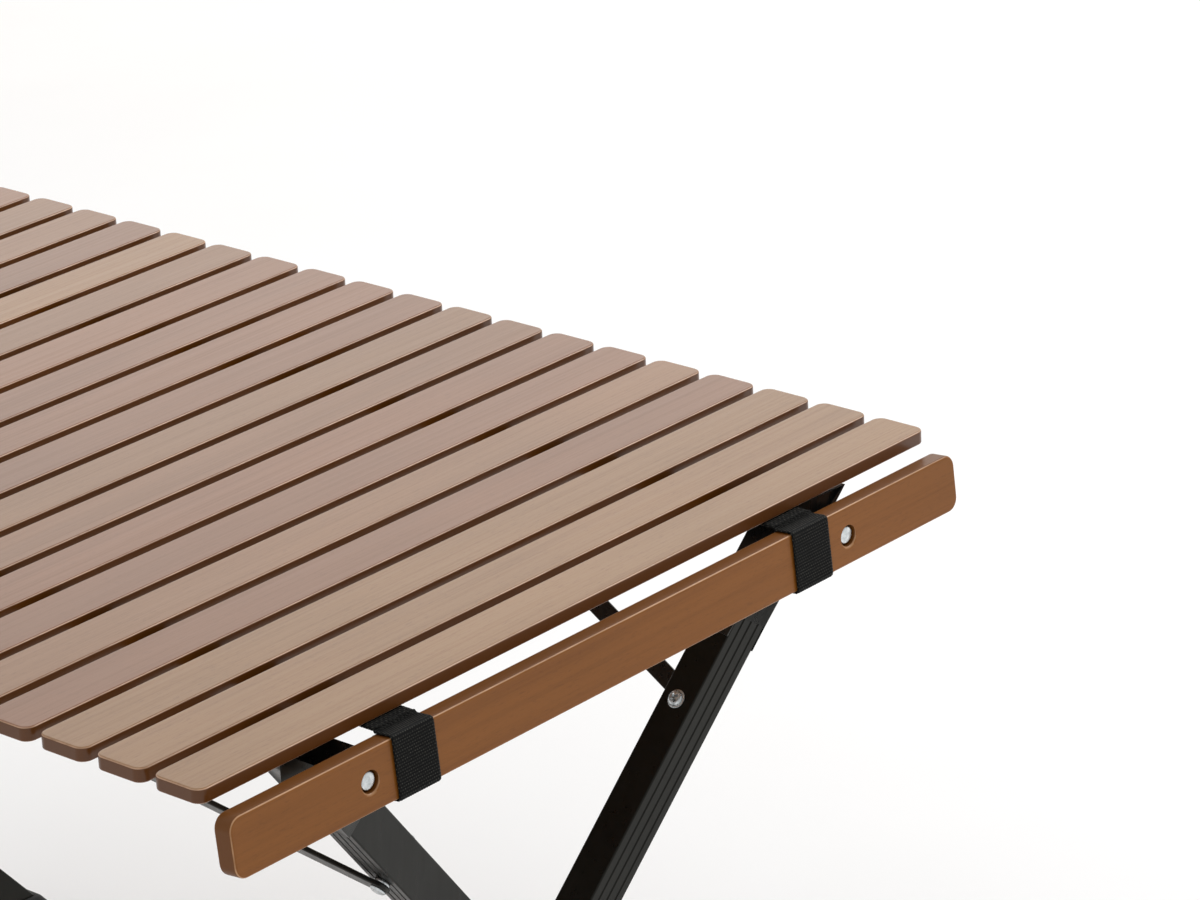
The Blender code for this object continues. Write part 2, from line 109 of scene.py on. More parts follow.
# ------------------------------------------------------------- mesh building
def mesh_object(name, verts, faces, smooth=True):
    mesh = bpy.data.meshes.new(name)
    mesh.from_pydata([tuple(v) for v in verts], [], [list(f) for f in faces])
    bm = bmesh.new()
    bm.from_mesh(mesh)
    bmesh.ops.remove_doubles(bm, verts=bm.verts, dist=1e-7)
    bmesh.ops.recalc_face_normals(bm, faces=bm.faces)
    bm.to_mesh(mesh)
    bm.free()
    if smooth:
        mesh.shade_smooth()
    obj = bpy.data.objects.new(name, mesh)
    scene.collection.objects.link(obj)
    return obj


def loft(name, rings, cap=True, closed_path=False, smooth=True):
    count = len(rings[0])
    verts = [p for ring in rings for p in ring]
    faces = []
    spans = len(rings) if closed_path else len(rings) - 1
    for r in range(spans):
        a, b = r * count, ((r + 1) % len(rings)) * count
        for i in range(count):
            j = (i + 1) % count
            faces.append((a + i, a + j, b + j, b + i))
    if cap and not closed_path:
        faces.append(tuple(range(count))[::-1])
        faces.append(tuple((len(rings) - 1) * count + i for i in range(count)))
    return mesh_object(name, verts, faces, smooth)


def rounded_outline(length, width, radius, steps):
    points = []
    for cx, cy, start in (
        (length / 2 - radius, width / 2 - radius, 0.0),
        (-length / 2 + radius, width / 2 - radius, 90.0),
        (-length / 2 + radius, -width / 2 + radius, 180.0),
        (length / 2 - radius, -width / 2 + radius, 270.0),
    ):
        for k in range(steps + 1):
            a = math.radians(start + 90.0 * k / steps)
            points.append((cx + radius * math.cos(a), cy + radius * math.sin(a)))
    return points


def edge_profile(thick, edge, steps):
    """(inset, z) pairs up a board's edge with quarter-round arrises."""
    pairs = [(edge + 0.0006, -thick / 2)]
    for k in range(steps + 1):
        a = math.radians(90.0 * k / steps)
        pairs.append((edge * (1 - math.sin(a)), -thick / 2 + edge * (1 - math.cos(a))))
    up = [(inset, -z) for inset, z in reversed(pairs)]
    return pairs + up


def soft_board(name, length, width, thick, radius, edge, place, steps=8, edge_steps=4):
    rings = []
    for inset, z in edge_profile(thick, edge, edge_steps):
        outline = rounded_outline(length - 2 * inset, width - 2 * inset, max(radius - inset, 0.0002), steps)
        rings.append([place(x, y, z) for x, y in outline])
    return loft(name, rings)


def slot_outline(length, width, steps):
    points = []
    for k in range(steps + 1):
        a = -math.pi / 2 + math.pi * k / steps
        points.append((length / 2 + width / 2 * math.cos(a), width / 2 * math.sin(a)))
    for k in range(steps + 1):
        a = math.pi / 2 + math.pi * k / steps
        points.append((-length / 2 + width / 2 * math.cos(a), width / 2 * math.sin(a)))
    return points


def soft_bar(name, length, width, thick, edge, centre, axes, steps=14):
    """A flat bar with round ends and eased edges. axes: along, across, through."""
    centre = Vector(centre)
    u, v, w = (Vector(a) for a in axes)
    rings = []
    for inset, z in edge_profile(thick, edge, 3):
        rings.append([centre + u * x + v * y + w * z for x, y in slot_outline(length, width - 2 * inset, steps)])
    return loft(name, rings)


def turned(name, profile, centre, axis, sides=40):
    axis = Vector(axis).normalized()
    side = axis.orthogonal().normalized()
    other = axis.cross(side)
    centre = Vector(centre)
    rings = []
    for along, radius in profile:
        rings.append(
            [
                centre + axis * along
                + (side * math.cos(2 * math.pi * k / sides) + other * math.sin(2 * math.pi * k / sides)) * radius
                for k in range(sides)
            ]
        )
    return loft(name, rings)


def prism(name, outline, centre, axes, length):
    centre = Vector(centre)
    u, v, w = (Vector(a) for a in axes)
    rings = []
    for side in (-length / 2, length / 2):
        rings.append([centre + u * x + v * y + w * side for x, y in outline])
    return loft(name, rings, smooth=False)


def apply_modifiers(obj):
    bpy.context.view_layer.update()
    evaluated = obj.evaluated_get(bpy.context.evaluated_depsgraph_get())
    mesh = bpy.data.meshes.new_from_object(evaluated)
    obj.modifiers.clear()
    old = obj.data
    obj.data = mesh
    bpy.data.meshes.remove(old)
    return obj


def boolean(target, cutter, operation="DIFFERENCE"):
    modifier = target.modifiers.new("shape", "BOOLEAN")
    modifier.operation = operation
    modifier.solver = "EXACT"
    modifier.object = cutter
    apply_modifiers(target)
    bpy.data.objects.remove(cutter, do_unlink=True)
    return target


def join(name, objs):
    """One object from several."""
    bm = bmesh.new()
    for o in objs:
        bm.from_mesh(o.data)
        bpy.data.objects.remove(o, do_unlink=True)
    mesh = bpy.data.meshes.new(name)
    bm.to_mesh(mesh)
    bm.free()
    obj = bpy.data.objects.new(name, mesh)
    scene.collection.objects.link(obj)
    return obj


def crisp(obj, angle=35.0, weighted=True):
    """Smooth shading with sharp arrises, weighted by face area."""
    obj.data.shade_smooth()
    obj.data.set_sharp_from_angle(angle=math.radians(angle))
    if weighted:
        modifier = obj.modifiers.new("normals", "WEIGHTED_NORMAL")
        modifier.keep_sharp = True
        modifier.weight = 80
    return obj


def bevelled(obj, width, segments=2, angle=30.0):
    modifier = obj.modifiers.new("arris", "BEVEL")
    modifier.width = width
    modifier.segments = segments
    modifier.limit_method = "ANGLE"
    modifier.angle_limit = math.radians(angle)
    modifier.harden_normals = False
    return obj


# ------------------------------------------------------------- materials
class Nodes:
    """Short names for building a node material."""

    def __init__(self, name):
        self.mat = bpy.data.materials.new(name)
        self.mat.use_nodes = True
        self.tree = self.mat.node_tree
        self.shader = self.tree.nodes["Principled BSDF"]
        self.coords = None

    def add(self, kind, **settings):
        node = self.tree.nodes.new(kind)
        for key, value in settings.items():
            setattr(node, key, value)
        return node

    def wire(self, output, socket):
        self.tree.links.new(output, socket)

    def feed(self, socket, value):
        if isinstance(value, bpy.types.NodeSocket):
            self.wire(value, socket)
        else:
            socket.default_value = value

    def position(self):
        if self.coords is None:
            self.coords = self.add("ShaderNodeTexCoord").outputs["Object"]
        return self.coords

    def mapping(self, scale=(1, 1, 1), rotation=(0, 0, 0), vector=None):
        node = self.add("ShaderNodeMapping")
        self.wire(vector or self.position(), node.inputs["Vector"])
        node.inputs["Scale"].default_value = scale
        node.inputs["Rotation"].default_value = rotation
        return node.outputs["Vector"]

    def split(self, vector):
        node = self.add("ShaderNodeSeparateXYZ")
        self.wire(vector, node.inputs[0])
        return node.outputs

    def combine(self, x, y, z):
        node = self.add("ShaderNodeCombineXYZ")
        for socket, value in zip(node.inputs, (x, y, z)):
            self.feed(socket, value)
        return node.outputs[0]

    def math(self, operation, a, b=0.0, c=0.0, clamp=False):
        node = self.add("ShaderNodeMath", operation=operation, use_clamp=clamp)
        for socket, value in zip(node.inputs, (a, b, c)):
            self.feed(socket, value)
        return node.outputs[0]

    def noise(self, vector, scale=1.0, detail=4.0, roughness=0.55, distortion=0.0, dimensions="3D"):
        node = self.add("ShaderNodeTexNoise", noise_dimensions=dimensions)
        self.wire(vector, node.inputs["Vector"])
        node.inputs["Scale"].default_value = scale
        node.inputs["Detail"].default_value = detail
        node.inputs["Roughness"].default_value = roughness
        node.inputs["Distortion"].default_value = distortion
        return node.outputs["Fac"]

    def ramp(self, value, stops, interpolation="LINEAR"):
        node = self.add("ShaderNodeValToRGB")
        node.color_ramp.interpolation = interpolation
        elements = node.color_ramp.elements
        while len(elements) < len(stops):
            elements.new(0.5)
        for element, (at, colour) in zip(elements, stops):
            element.position = at
            element.color = (*colour, 1.0) if len(colour) == 3 else colour
        self.wire(value, node.inputs[0])
        return node.outputs["Color"]

    def grey(self, value, low_at, high_at, low, high):
        node = self.add("ShaderNodeMapRange")
        node.clamp = True
        self.feed(node.inputs["Value"], value)
        node.inputs["From Min"].default_value = low_at
        node.inputs["From Max"].default_value = high_at
        node.inputs["To Min"].default_value = low
        node.inputs["To Max"].default_value = high
        return node.outputs[0]

    def mix(self, factor, a, b, blend="MIX"):
        node = self.add("ShaderNodeMix", data_type="RGBA", blend_type=blend)
        self.feed(node.inputs[0], factor)
        for socket, value in ((node.inputs[6], a), (node.inputs[7], b)):
            if isinstance(value, tuple) and len(value) == 3:
                value = (*value, 1.0)
            self.feed(socket, value)
        return node.outputs[2]

    def bump(self, height, distance, strength=1.0, normal=None):
        node = self.add("ShaderNodeBump")
        self.wire(height, node.inputs["Height"])
        node.inputs["Distance"].default_value = distance
        node.inputs["Strength"].default_value = strength
        if normal is not None:
            self.wire(normal, node.inputs["Normal"])
        return node.outputs["Normal"]

    def set(self, **values):
        for key, value in values.items():
            socket = self.shader.inputs[key.replace("_", " ")]
            if isinstance(value, tuple) and len(value) == 3 and socket.type == "RGBA":
                value = (*value, 1.0)
            self.feed(socket, value)
        return self.mat


def wood(name, top, top_alt, edge_stain_and_shade, dark, board_pitch, coat, streak, sheen_rough, across, painted_arris_highlight):
    """Stained beech: fine streaks along X, short ray flecks, a tone for each board, a darker tone on the
    narrow faces, partly a deeper stain and partly painted shade, and a painted highlight along the arrises."""
    n = Nodes(name)
    x, y, z = n.split(n.position())
    board = n.math("FLOOR", n.math("DIVIDE", n.math("ADD", y, 10 * board_pitch), board_pitch))
    tone = n.add("ShaderNodeTexWhiteNoise", noise_dimensions="1D")
    n.wire(n.math("ADD", board, 0.37), tone.inputs["W"])
    shade_of = n.add("ShaderNodeTexWhiteNoise", noise_dimensions="1D")
    n.wire(n.math("ADD", board, 41.73), shade_of.inputs["W"])
    shift = n.math("MULTIPLY", tone.outputs["Value"], 7.0)
    moved = n.combine(n.math("ADD", x, shift), n.math("ADD", y, shift), z)
    streaks = n.noise(n.mapping((4.5, 420.0, 420.0), vector=moved), 1.0, 6.0, 0.66, 0.5)
    bands = n.noise(n.mapping((1.1, 52.0, 52.0), vector=moved), 1.0, 4.0, 0.55, 0.9)
    flecks = n.noise(n.mapping((190.0, 1500.0, 1500.0), vector=moved), 1.0, 2.0, 0.5)
    clouds = n.noise(n.mapping((5.0, 11.0, 11.0), vector=moved), 1.0, 3.0, 0.5)
    base = n.mix(n.grey(tone.outputs["Value"], 0.45, 0.95, 0.0, 1.0), top, top_alt)
    flat = n.add("ShaderNodeTexCoord").outputs["Normal"]
    broad = n.math("ABSOLUTE", n.split(flat)[across])
    # Partly painted shade: the narrow faces take a darker tone than the broad faces, partly a deeper stain on the
    # edges.
    if edge_stain_and_shade is not None:
        base = n.mix(n.grey(broad, 0.35, 0.92, 1.0, 0.0), base, edge_stain_and_shade)
    base = n.mix(n.grey(streaks, 0.46, 0.74, 0.0, streak), base, dark)
    base = n.mix(n.grey(bands, 0.48, 0.76, 0.0, 0.8 * streak), base, dark)
    base = n.mix(n.grey(flecks, 0.58, 0.70, 0.0, 0.32), base, dark)
    lift = n.grey(clouds, 0.3, 0.7, 0.92, 1.07)
    level = n.math("MULTIPLY", lift, n.grey(shade_of.outputs["Value"], 0.0, 1.0, 0.90, 1.10))
    base = n.mix(1.0, base, n.combine(level, level, level), "MULTIPLY")
    # Painted highlight: a pale colour along the eased arrises stands in for the light they catch.
    arris_highlight_mask = n.math("MULTIPLY", n.grey(broad, 0.34, 0.52, 0.0, 1.0), n.grey(broad, 0.80, 0.93, 1.0, 0.0))
    patchy = n.grey(n.noise(n.mapping((26.0, 90.0, 90.0), vector=moved), 1.0, 3.0, 0.6), 0.32, 0.62, 0.35, 1.0)
    base = n.mix(n.math("MULTIPLY", arris_highlight_mask, patchy), base, painted_arris_highlight)
    rough = n.grey(streaks, 0.35, 0.7, 0.40, 0.50)
    height = n.math("ADD", n.math("MULTIPLY", streaks, 0.6), n.math("MULTIPLY", flecks, 0.4))
    n.set(Base_Color=base, Roughness=rough, Normal=n.bump(height, 0.00005, 0.45))
    n.shader.inputs["Coat Weight"].default_value = coat
    n.shader.inputs["Coat Roughness"].default_value = sheen_rough
    n.shader.inputs["Specular IOR Level"].default_value = 0.16
    return n.mat


def webbing(name, colour, light, painted_hollow_shade):
    """Nylon yarn: fine twist along the ribs, with painted shade darkening the hollows between them."""
    n = Nodes(name)
    yarn = n.noise(n.mapping((2400.0, 1100.0, 1100.0)), 1.0, 2.0, 0.6)
    fibre = n.noise(n.mapping((5200.0, 2600.0, 2600.0)), 1.0, 3.0, 0.6)
    patch = n.noise(n.mapping((60.0, 60.0, 60.0)), 1.0, 2.0, 0.5)
    base = n.mix(n.grey(yarn, 0.40, 0.62, 0.0, 1.0), colour, light)
    base = n.mix(n.grey(patch, 0.35, 0.7, 0.0, 0.30), base, colour)
    relief = n.add("ShaderNodeAttribute", attribute_name="relief").outputs["Fac"]
    # Painted shade: the hollows between the ribs are darkened by their depth.
    base = n.mix(n.grey(relief, 0.02, 0.38, 0.0, 1.0), base, painted_hollow_shade)
    height = n.math("ADD", n.math("MULTIPLY", yarn, 0.7), n.math("MULTIPLY", fibre, 0.3))
    n.set(
        Base_Color=base,
        Roughness=n.grey(fibre, 0.3, 0.7, 0.50, 0.75),
        Normal=n.bump(height, 0.00014, 0.8),
    )
    n.shader.inputs["Specular IOR Level"].default_value = 0.14
    n.shader.inputs["Sheen Weight"].default_value = 0.015
    n.shader.inputs["Sheen Roughness"].default_value = 0.4
    return n.mat


def anodised(name, colour, light, rough_low, rough_high, metallic=0.0, specular=0.5):
    """Black finish on drawn tube: faint draw lines along the tube and small scuffs."""
    n = Nodes(name)
    lines = n.noise(n.mapping((240.0, 240.0, 7.0)), 1.0, 4.0, 0.6)
    clouds = n.noise(n.mapping((22.0, 22.0, 22.0)), 1.0, 4.0, 0.55)
    specks = n.noise(n.mapping((900.0, 900.0, 900.0)), 1.0, 2.0, 0.6)
    base = n.mix(n.grey(clouds, 0.35, 0.7, 0.0, 1.0), colour, light)
    base = n.mix(n.grey(specks, 0.66, 0.74, 0.0, 0.3), base, light)
    geometry = n.add("ShaderNodeNewGeometry")
    edge = n.grey(geometry.outputs["Pointiness"], 0.52, 0.60, 0.0, 0.35)
    base = n.mix(edge, base, tuple(min(1.0, 3.0 * c) for c in light))
    n.set(
        Base_Color=base,
        Roughness=n.grey(lines, 0.3, 0.7, rough_low, rough_high),
        Normal=n.bump(n.math("ADD", lines, n.math("MULTIPLY", specks, 0.1)), 0.00003, 0.4),
    )
    n.shader.inputs["Metallic"].default_value = metallic
    n.shader.inputs["Specular IOR Level"].default_value = specular
    n.shader.inputs["Specular Tint"].default_value = (1.0, 0.98, 0.90, 1.0)
    return n.mat


def plated(name, colour, shadow, rough):
    """Bright zinc plate: soft mottling and fine turning marks."""
    n = Nodes(name)
    mottle = n.noise(n.mapping((420.0, 420.0, 420.0)), 1.0, 4.0, 0.6)
    fine = n.noise(n.mapping((2600.0, 2600.0, 2600.0)), 1.0, 2.0, 0.5)
    base = n.mix(n.grey(mottle, 0.35, 0.7, 0.0, 1.0), colour, shadow)
    n.set(
        Base_Color=base,
        Roughness=n.grey(mottle, 0.3, 0.7, rough, rough + 0.16),
        Normal=n.bump(n.math("ADD", mottle, n.math("MULTIPLY", fine, 0.5)), 0.00005, 0.5),
    )
    n.shader.inputs["Metallic"].default_value = 1.0
    return n.mat


def rubber(name, colour, light):
    n = Nodes(name)
    grain = n.noise(n.mapping((1500.0, 1500.0, 1500.0)), 1.0, 3.0, 0.6)
    dust = n.noise(n.mapping((45.0, 45.0, 45.0)), 1.0, 4.0, 0.6)
    base = n.mix(n.grey(dust, 0.4, 0.75, 0.0, 0.8), colour, light)
    n.set(
        Base_Color=base,
        Roughness=n.grey(grain, 0.3, 0.7, 0.62, 0.82),
        Normal=n.bump(grain, 0.0001, 0.6),
    )
    return n.mat


# In each wood the third colour darkens the narrow faces (partly a deeper stain, partly painted shade) and the last
# colour is a painted highlight along the arrises.
SLAT_WOOD = wood(
    "slat_wood", (0.203, 0.083, 0.035), (0.255, 0.131, 0.048), (0.105, 0.031, 0.0015), (0.120, 0.042, 0.012),
    SLAT_PITCH, 0.60, 0.28, 0.19, 2, (0.55, 0.33, 0.21),
)
RAIL_WOOD = wood(
    "rail_wood", (0.262, 0.090, 0.012), (0.272, 0.095, 0.014), (0.150, 0.050, 0.006), (0.150, 0.046, 0.007),
    0.3, 0.20, 0.34, 0.19, 1, (0.52, 0.29, 0.15),
)
# The last colour of each webbing is painted shade for the hollows between the ribs.
WEBBING = webbing("webbing", (0.014, 0.014, 0.011), (0.115, 0.112, 0.092), (0.0003, 0.0003, 0.0002))
THREAD = webbing("thread", (0.008, 0.008, 0.007), (0.022, 0.022, 0.020), (0.004, 0.004, 0.004))
LEG_BLACK = anodised("leg_black", (0.0030, 0.0030, 0.0022), (0.0065, 0.0065, 0.0048), 0.26, 0.38, 0.0, 0.25)
STEEL_BLACK = anodised("steel_black", (0.0040, 0.0040, 0.0038), (0.0090, 0.0090, 0.0085), 0.24, 0.36, 0.0, 0.45)
ZINC = plated("zinc", (0.74, 0.77, 0.78), (0.50, 0.53, 0.54), 0.22)
RUBBER = rubber("foot_rubber", (0.009, 0.009, 0.009), (0.024, 0.023, 0.022))


def finish(obj, material, body=None, nodes=()):
    obj.data.materials.clear()
    obj.data.materials.append(material)
    if body:
        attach(obj, body)
    if nodes:
        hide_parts(*nodes)
    return obj


# ------------------------------------------------------------- camera
CAMERA_AT = Vector((-1.8665, -2.1255, TABLE_HEIGHT + 1.0943))
FORWARD = Vector((0.6885, 0.6233, -0.3707)).normalized()
RIGHT = Vector((0.6712, -0.7413, 0.0)).normalized()
UP = RIGHT.cross(FORWARD).normalized()
ROLL = math.radians(-2.94)
right = RIGHT * math.cos(ROLL) + UP * math.sin(ROLL)
up = -RIGHT * math.sin(ROLL) + UP * math.cos(ROLL)
camera_data = bpy.data.cameras.new("camera")
camera_data.sensor_fit = "HORIZONTAL"
camera_data.sensor_width = 36.0
camera_data.lens = 5041.4 / 1200.0 * 36.0
camera = bpy.data.objects.new("camera", camera_data)
scene.collection.objects.link(camera)
turn = Matrix((right, up, -FORWARD)).transposed()
camera.matrix_world = Matrix.Translation(CAMERA_AT) @ turn.to_4x4()
camera_data.clip_start, camera_data.clip_end = 0.05, 60.0
scene.camera = camera


# ------------------------------------------------------------- slats
for number in range(1, SLAT_COUNT + 1):
    y0 = slat_y(number)
    z0 = TABLE_HEIGHT - SLAT_THICK / 2
    node = f"slat_{number:02d}"
    slat = soft_board(
        f"look_{node}", SLAT_LENGTH, SLAT_WIDTH, SLAT_THICK, 0.0065, 0.0011,
        lambda x, y, z, y0=y0, z0=z0: Vector((x, y0 + y, z0 + z)),
    )
    crisp(slat, 60)
    finish(slat, SLAT_WOOD, f"{node}_body", [node])
    # Two flat-head tacks a strap hold the webbing to the slat's underside.
    tacks = []
    for side in (-1, 1):
        for dx in (-0.0085, 0.0085):
            tacks.append(
                turned(
                    "tack",
                    [(0.0, 0.0030), (0.0005, 0.0030), (0.0011, 0.0022), (0.0014, 0.0008)],
                    (side * STRAP_X + dx, y0, HINGE_Z - STRAP_THICK / 2 + 0.0001), (0, 0, -1), 20,
                )
            )
    tack = crisp(join(f"look_tacks_{number:02d}", tacks), 50, False)
    finish(tack, ZINC, f"{node}_body")


# ------------------------------------------------------------- rails and bolts
def rail_frame(end):
    up = Vector((0.0, -end * math.sin(RAIL_TILT), math.cos(RAIL_TILT)))
    out = Vector((0.0, end * math.cos(RAIL_TILT), math.sin(RAIL_TILT)))
    top_outer = Vector((0.0, end * RAIL_FACE_Y, RAIL_TOP_Z))
    return top_outer - up * RAIL_HEIGHT / 2 - out * RAIL_THICK / 2, up, out


for end in (-1, 1):
    centre, rail_up, out = rail_frame(end)
    rail = soft_board(
        f"look_{end_name(end)}_rail", RAIL_LENGTH, RAIL_HEIGHT, RAIL_THICK, 0.008, 0.0013,
        lambda x, y, z, c=centre, u=rail_up, o=out: c + Vector((x, 0, 0)) + u * y + o * z,
    )
    face_y = (centre + rail_up * ((BOLT_Z - centre.z) / rail_up.z) + out * RAIL_THICK / 2).y
    for side in (-1, 1):
        mouth = Vector((side * BOLT_X, face_y, BOLT_Z))
        along = Vector((0.0, float(end), 0.0))
        hole = turned(
            "hole",
            [(-0.0300, 0.0034), (-0.0074, 0.0034), (-0.0074, 0.0063), (-0.0009, 0.0063), (-0.0003, 0.00655),
             (0.0002, 0.0070), (0.0006, 0.0078), (0.0020, 0.0110)],
            mouth, along, 48,
        )
        rail = boolean(rail, hole)
        bolt = turned(
            f"look_{end_name(end)}_bolt_{side_name(side)}",
            [(-0.0226, 0.0025), (-0.0221, 0.0030), (-0.0068, 0.0030), (-0.0068, 0.0052), (-0.0022, 0.0052),
             (-0.00185, 0.00505), (-0.0017, 0.0048), (-0.0016, 0.0043), (-0.00162, 0.0010)],
            mouth, along, 48,
        )
        crisp(bolt, 40, False)
        finish(
            bolt, ZINC, f"top_{end_name(end)}_rail",
            [f"{end_name(end)}_rail_bolt_{side_name(side)}"],
        )
    crisp(rail, 50)
    finish(rail, RAIL_WOOD, f"top_{end_name(end)}_rail", [f"{end_name(end)}_rail"])


# ------------------------------------------------------------- webbing
RIB = SLAT_PITCH / 24


def rib_height(u, v, columns, ribs=0.00050, beads=0.00024):
    """How far the woven surface stands under its crest at u along and v across (-1 to 1)."""
    ridge = abs(math.sin(math.pi * u / RIB)) ** 0.7
    row = int(math.floor(u / RIB))
    bead = abs(math.sin(math.pi * (v * columns / 2 + 0.5 * (row % 2))))
    return ribs * (1.0 - ridge) + beads * (1.0 - bead) * ridge


def ribbon(name, path, x0, width, thick, start_u=0.0, across=37):
    """A strip of webbing along (y, z) points. The first normal side is its outside."""
    points = [Vector((0.0, y, z)) for y, z in path]
    lengths = [0.0]
    for a, b in zip(points, points[1:]):
        lengths.append(lengths[-1] + (b - a).length)
    rings, hollows = [], []
    for i, p in enumerate(points):
        a, b = points[max(i - 1, 0)], points[min(i + 1, len(points) - 1)]
        along = (b - a).normalized()
        normal = Vector((0.0, -along.z, along.y))
        u = start_u + lengths[i]
        ring = []
        for face, turn in ((1, 1), (-1, -1)):
            for k in range(across):
                v = turn * (-1.0 + 2.0 * k / (across - 1))
                selvage = 1.0 - 0.62 * max(0.0, (abs(v) - 0.955) / 0.045) ** 2
                drop = rib_height(u + (0.0 if face > 0 else RIB / 2), v, (across - 1) // 2)
                wave = 0.00012 * abs(math.sin(math.pi * u / RIB)) if abs(v) > 0.99 else 0.0
                x = x0 + v * (width / 2 - 0.00013 + wave)
                lift = (abs(thick) / 2 - drop) * selvage * (1 if thick > 0 else -1)
                ring.append(p + Vector((x, 0, 0)) + normal * (face * lift))
                hollows.append(min(1.0, drop / 0.0004))
        rings.append(ring)
    strip = loft(name, rings)
    # The hollow depth is kept for the webbing's painted shade.
    relief = strip.data.attributes.new("relief", "FLOAT", "POINT")
    tree = KDTree(len(hollows))
    flat = [p for ring in rings for p in ring]
    for i, p in enumerate(flat):
        tree.insert(p, i)
    tree.balance()
    for vertex in strip.data.vertices:
        relief.data[vertex.index].value = hollows[tree.find(vertex.co)[1]]
    return strip


def path_of(pieces, step):
    """Points every step along lines and arcs. A piece is ("line", p, q) or ("arc", centre, radius, a0, a1)."""
    raw = []
    for piece in pieces:
        if piece[0] == "line":
            p, q = Vector(piece[1]), Vector(piece[2])
            n = max(2, int((q - p).length / 0.0001))
            raw += [p.lerp(q, i / n) for i in range(n + 1)]
        else:
            _, c, r, a0, a1 = piece
            n = max(6, int(abs(a1 - a0) * r / 0.0001))
            raw += [
                Vector((c[0] + r * math.cos(a0 + (a1 - a0) * i / n), c[1] + r * math.sin(a0 + (a1 - a0) * i / n)))
                for i in range(n + 1)
            ]
    line = [raw[0]]
    for p in raw[1:]:
        if (p - line[-1]).length > 1e-7:
            line.append(p)
    travelled = [0.0]
    for a, b in zip(line, line[1:]):
        travelled.append(travelled[-1] + (b - a).length)
    count = max(2, round(travelled[-1] / step))
    want = np.linspace(0.0, travelled[-1], count + 1)
    ys = np.interp(want, travelled, [p[0] for p in line])
    zs = np.interp(want, travelled, [p[1] for p in line])
    return list(zip(ys.tolist(), zs.tolist()))


TONGUE_END = SLAT_COUNT / 2 * SLAT_PITCH + 0.0040
SKIN = 0.0015


def loop_path(end):
    """From under the first slat, over the rail's top, down its face, under it and up behind."""
    centre, rail_up, out = rail_frame(end)
    hw = RAIL_THICK / 2 + GAP + SKIN / 2
    hu = RAIL_HEIGHT / 2 + GAP + SKIN / 2
    r = 0.0022

    def at(w, u):
        p = centre + out * w + rail_up * u
        return (p.y, p.z)

    corners = [(-hw, hu), (hw, hu), (hw, -hu), (-hw, -hu), (-hw, hu - 0.0022)]
    pieces = []
    start = (end * TONGUE_END, HINGE_Z)
    first = at(-hw + 0.0018, hu)
    pieces.append(("line", start, first))
    here = first
    for k in (1, 2, 3):
        w, u = corners[k]
        pw, pu = corners[k - 1]
        nw, nu = corners[k + 1]
        d0 = Vector((w - pw, u - pu)).normalized()
        d1 = Vector((nw - w, nu - u)).normalized()
        enter = Vector((w, u)) - d0 * r
        middle = enter + d1 * r
        pieces.append(("line", here, at(*enter)))
        for j in range(1, 9):
            a = math.pi / 2 * j / 8
            q = middle - d1 * r * math.cos(a) + d0 * r * math.sin(a)
            pieces.append(("line", at(*(middle - d1 * r * math.cos(a - math.pi / 16) + d0 * r * math.sin(a - math.pi / 16))), at(*q)))
            here = at(*q)
    pieces.append(("line", here, at(*corners[4])))
    return path_of(pieces, RIB / 5)


for end in (-1, 1):
    for side in (-1, 1):
        path = loop_path(end)
        if end > 0:
            loop = ribbon(f"look_far_loop_{side_name(side)}", path, side * STRAP_X, STRAP_WIDTH, SKIN)
        else:
            loop = ribbon(f"look_near_loop_{side_name(side)}", path, side * STRAP_X, STRAP_WIDTH, -SKIN)
        finish(
            loop, WEBBING, f"top_{end_name(end)}_rail",
            [f"{end_name(end)}_strap_loop_{side_name(side)}"],
        )

# Strips under the slats, cut at each slat's middle.
for side in (-1, 1):
    first = None
    for k in range(SLAT_COUNT + 1):
        gap_y = (k - SLAT_COUNT / 2) * SLAT_PITCH
        y_from = gap_y - (SLAT_PITCH / 2 if k else 0.0040)
        y_to = gap_y + (SLAT_PITCH / 2 if k < SLAT_COUNT else 0.0040)
        steps = max(4, round((y_to - y_from) / (RIB / 4)))
        path = [(y_from + (y_to - y_from) * i / steps, HINGE_Z) for i in range(steps + 1)]
        strip = ribbon(
            f"look_strap_{side_name(side)}_{k:02d}", path, side * STRAP_X, STRAP_WIDTH - 0.0002, -SKIN,
            start_u=(y_from + 1.0 * SLAT_PITCH * 30), across=19,
        )
        finish(strip, WEBBING)
        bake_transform(strip)
        first = first or strip
    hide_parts(f"strap_{side_name(side)}")


def stitch(p, q, lift, radius):
    """One thread stitch: a short arched rod."""
    p, q = Vector(p), Vector(q)
    along = (q - p).normalized()
    side = along.cross(lift).normalized()
    rings = []
    for i in range(7):
        t = i / 6
        r = radius * math.sqrt(max(0.0, 1 - (2 * t - 1) ** 2)) + 0.00004
        c = p.lerp(q, t) + lift * (0.00025 * math.sin(math.pi * t))
        rings.append([c + side * r * math.cos(a) + lift * r * math.sin(a) for a in [2 * math.pi * m / 6 for m in range(6)]])
    return loft("stitch", rings)


for end in (-1, 1):
    for side in (-1, 1):
        made = []
        lift = Vector((0, 0, 1))
        z = HINGE_Z + SKIN / 2 + 0.00005
        for row_y in (0.4256, 0.4292, 0.4300, 0.4336):
            for i in range(11):
                x = side * STRAP_X - 0.0130 + 0.0026 * i - 0.0009
                made.append(stitch((x, end * row_y, z), (x + 0.0018, end * row_y, z), lift, 0.00026))
        for i in range(9):
            x = side * STRAP_X - 0.0124 + 0.0031 * i
            made.append(stitch((x, end * 0.4298, z), (x + 0.0013, end * 0.4330, z), lift, 0.00024))
            made.append(stitch((x + 0.0014, end * 0.4330, z), (x + 0.0027, end * 0.4298, z), lift, 0.00024))
        thread = join(f"look_{end_name(end)}_stitches_{side_name(side)}", made)
        thread.data.shade_smooth()
        finish(thread, THREAD, f"top_{end_name(end)}_rail")


